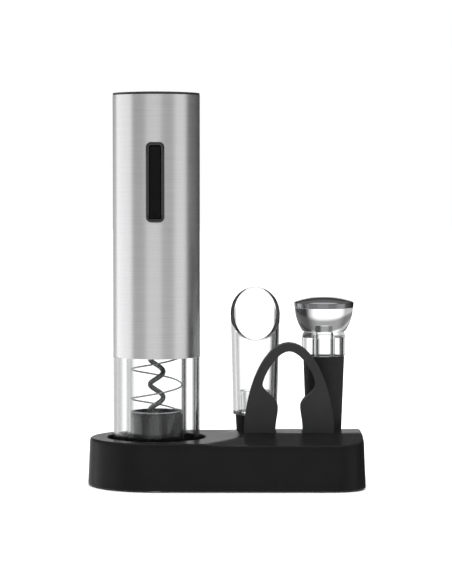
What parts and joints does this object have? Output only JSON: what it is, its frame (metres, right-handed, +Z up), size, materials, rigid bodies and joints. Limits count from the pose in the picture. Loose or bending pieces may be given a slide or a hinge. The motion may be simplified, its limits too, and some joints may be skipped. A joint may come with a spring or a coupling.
{
  "type": "electric wine opener",
  "caption": "Battery wine opener standing in a base, with a clear lower sleeve, worm and spring-loaded neck ring, and with a foil cutter, pourer and vacuum stopper.",
  "frame": {"origin": "middle of the base, at the level that its feet stand on", "axes": "+Z up, +X along the base from the opener to the stopper, -Y towards the front"},
  "size_m": [0.159, 0.079, 0.2259],
  "materials": {
    "base_black": "fine satin mould texture",
    "plain_black": "matt",
    "foot_rubber": "matt",
    "zinc": "bright zinc plate",
    "brushed_steel": "brushed round the tube",
    "clear_plastic": "clear and polished",
    "gloss_black": "polished",
    "button_black": "satin",
    "spring_steel": "dark steel wire",
    "gear_plastic": "natural acetal",
    "bronze": "turned",
    "plated_steel": "zinc plate",
    "copper_winding": "enamelled wire on a steel core",
    "coated_worm": "dark non-stick coating",
    "cell_wrap": "plain printed wrap",
    "cap_black": "satin",
    "board_green": "solder mask",
    "cutter_grey": "matt",
    "wheel_steel": "ground edge",
    "bung_rubber": "matt silicone rubber",
    "cap_chrome": "polished"
  },
  "bodies": {
    "base": {"base_shell": "base_black", "base_plate": "plain_black", "base_feet": "foot_rubber", "base_screws": "zinc"},
    "opener": {"steel_tube": "brushed_steel", "clear_sleeve": "clear_plastic", "guide_tube": "clear_plastic", "guide_screws": "zinc", "gearbox_housing": "plain_black", "ring_gear": "gear_plastic", "output_bush": "bronze", "motor_plate": "plated_steel", "gearbox_screws": "zinc", "motor_can": "plated_steel", "motor_screws": "zinc", "chassis_front": "plain_black", "chassis_back": "plain_black", "chassis_screws": "zinc", "battery_holder": "plain_black", "battery_springs": "zinc", "batteries": "cell_wrap", "switch_board": "board_green", "tact_switches": "plain_black", "button_frame": "gloss_black", "ring_spring": "spring_steel"},
    "worm_drive": {"output_carrier": "plated_steel", "worm_chuck": "plain_black", "worm": "coated_worm"},
    "input_carrier": {"input_carrier": "plated_steel"},
    "rotor": {"motor_rotor": "copper_winding", "motor_pinion": "bronze"},
    "neck_ring": {"neck_ring": "gloss_black"},
    "battery_cap": {"top_cap": "cap_black", "cap_contacts": "zinc"},
    "rocker": {"rocker_button": "button_black"},
    "foil_cutter": {"cutter_body": "cutter_grey", "cutter_pins": "zinc"},
    "pourer": {"pourer_spout": "clear_plastic", "pourer_insert": "clear_plastic", "pourer_bung": "bung_rubber"},
    "stopper": {"stopper_collar": "clear_plastic", "stopper_bung": "bung_rubber"},
    "pump": {"stopper_cap": "cap_chrome", "stopper_head": "clear_plastic", "stopper_rod": "clear_plastic", "stopper_seal": "bung_rubber"},
    "output_planet_1": {"output_planet_1": "gear_plastic"},
    "input_planet_1": {"input_planet_1": "gear_plastic"},
    "output_planet_2": {"output_planet_2": "gear_plastic"},
    "input_planet_2": {"input_planet_2": "gear_plastic"},
    "output_planet_3": {"output_planet_3": "gear_plastic"},
    "input_planet_3": {"input_planet_3": "gear_plastic"},
    "cutter_wheel_1": {"cutter_wheel_1": "wheel_steel"},
    "cutter_wheel_2": {"cutter_wheel_2": "wheel_steel"},
    "cutter_wheel_3": {"cutter_wheel_3": "wheel_steel"},
    "cutter_wheel_4": {"cutter_wheel_4": "wheel_steel"}
  },
  "joints": [
    {"name": "opener_lift", "type": "slide", "parent": "base", "child": "opener", "axis": [0, 0, 1], "range_m": [0, 0.07]},
    {"name": "worm_spin", "type": "hinge", "parent": "opener", "child": "worm_drive", "pos_m": [-0.04, 0, 0.0945], "axis": [0, 0, 1], "continuous": true},
    {"name": "carrier_spin", "type": "hinge", "parent": "opener", "child": "input_carrier", "pos_m": [-0.04, 0, 0.0945], "axis": [0, 0, 1], "continuous": true},
    {"name": "rotor_spin", "type": "hinge", "parent": "opener", "child": "rotor", "pos_m": [-0.04, 0, 0.0945], "axis": [0, 0, 1], "continuous": true},
    {"name": "ring_slide", "type": "slide", "parent": "opener", "child": "neck_ring", "axis": [0, 0, 1], "range_m": [0, 0.045], "stiffness_N_per_m": 300, "springref_m": -0.02, "deforming": ["ring_spring"]},
    {"name": "cap_twist", "type": "hinge", "parent": "opener", "child": "battery_cap", "pos_m": [-0.04, 0, 0.2239], "axis": [0, 0, 1], "range_deg": [0, 30]},
    {"name": "rocker_tilt", "type": "hinge", "parent": "opener", "child": "rocker", "pos_m": [-0.04, -0.0233, 0.1742], "axis": [1, 0, 0], "range_deg": [-2.5, 2.5], "stiffness_Nm_per_rad": 0.2},
    {"name": "cutter_lift", "type": "slide", "parent": "base", "child": "foil_cutter", "axis": [0, 0, 1], "range_m": [0, 0.04]},
    {"name": "pourer_lift", "type": "slide", "parent": "base", "child": "pourer", "axis": [0, 0, 1], "range_m": [0, 0.05]},
    {"name": "stopper_lift", "type": "slide", "parent": "base", "child": "stopper", "axis": [0, 0, 1], "range_m": [0, 0.05]},
    {"name": "pump_pull", "type": "slide", "parent": "stopper", "child": "pump", "axis": [0, 0, 1], "range_m": [0, 0.012]},
    {"name": "output_planet_1_spin", "type": "hinge", "parent": "worm_drive", "child": "output_planet_1", "pos_m": [-0.0295, 0, 0.0945], "axis": [0, 0, 1], "continuous": true},
    {"name": "input_planet_1_spin", "type": "hinge", "parent": "input_carrier", "child": "input_planet_1", "pos_m": [-0.0295, 0, 0.0945], "axis": [0, 0, 1], "continuous": true},
    {"name": "output_planet_2_spin", "type": "hinge", "parent": "worm_drive", "child": "output_planet_2", "pos_m": [-0.04525, 0.00909, 0.0945], "axis": [0, 0, 1], "continuous": true},
    {"name": "input_planet_2_spin", "type": "hinge", "parent": "input_carrier", "child": "input_planet_2", "pos_m": [-0.04525, 0.00909, 0.0945], "axis": [0, 0, 1], "continuous": true},
    {"name": "output_planet_3_spin", "type": "hinge", "parent": "worm_drive", "child": "output_planet_3", "pos_m": [-0.04525, -0.00909, 0.0945], "axis": [0, 0, 1], "continuous": true},
    {"name": "input_planet_3_spin", "type": "hinge", "parent": "input_carrier", "child": "input_planet_3", "pos_m": [-0.04525, -0.00909, 0.0945], "axis": [0, 0, 1], "continuous": true},
    {"name": "cutter_wheel_1_spin", "type": "hinge", "parent": "foil_cutter", "child": "cutter_wheel_1", "pos_m": [0.02035, -0.00445, 0.014], "axis": [0, 0, 1], "continuous": true},
    {"name": "cutter_wheel_2_spin", "type": "hinge", "parent": "foil_cutter", "child": "cutter_wheel_2", "pos_m": [0.02035, 0.00125, 0.014], "axis": [0, 0, 1], "continuous": true},
    {"name": "cutter_wheel_3_spin", "type": "hinge", "parent": "foil_cutter", "child": "cutter_wheel_3", "pos_m": [0.05225, -0.00445, 0.014], "axis": [0, 0, 1], "continuous": true},
    {"name": "cutter_wheel_4_spin", "type": "hinge", "parent": "foil_cutter", "child": "cutter_wheel_4", "pos_m": [0.05225, 0.00125, 0.014], "axis": [0, 0, 1], "continuous": true}
  ],
  "couplings": [
    {"joint": "carrier_spin", "follows": "worm_spin", "ratio": 4},
    {"joint": "rotor_spin", "follows": "worm_spin", "ratio": 16},
    {"joint": "output_planet_1_spin", "follows": "worm_spin", "ratio": -3},
    {"joint": "input_planet_1_spin", "follows": "worm_spin", "ratio": -12},
    {"joint": "output_planet_2_spin", "follows": "worm_spin", "ratio": -3},
    {"joint": "input_planet_2_spin", "follows": "worm_spin", "ratio": -12},
    {"joint": "output_planet_3_spin", "follows": "worm_spin", "ratio": -3},
    {"joint": "input_planet_3_spin", "follows": "worm_spin", "ratio": -12}
  ]
}
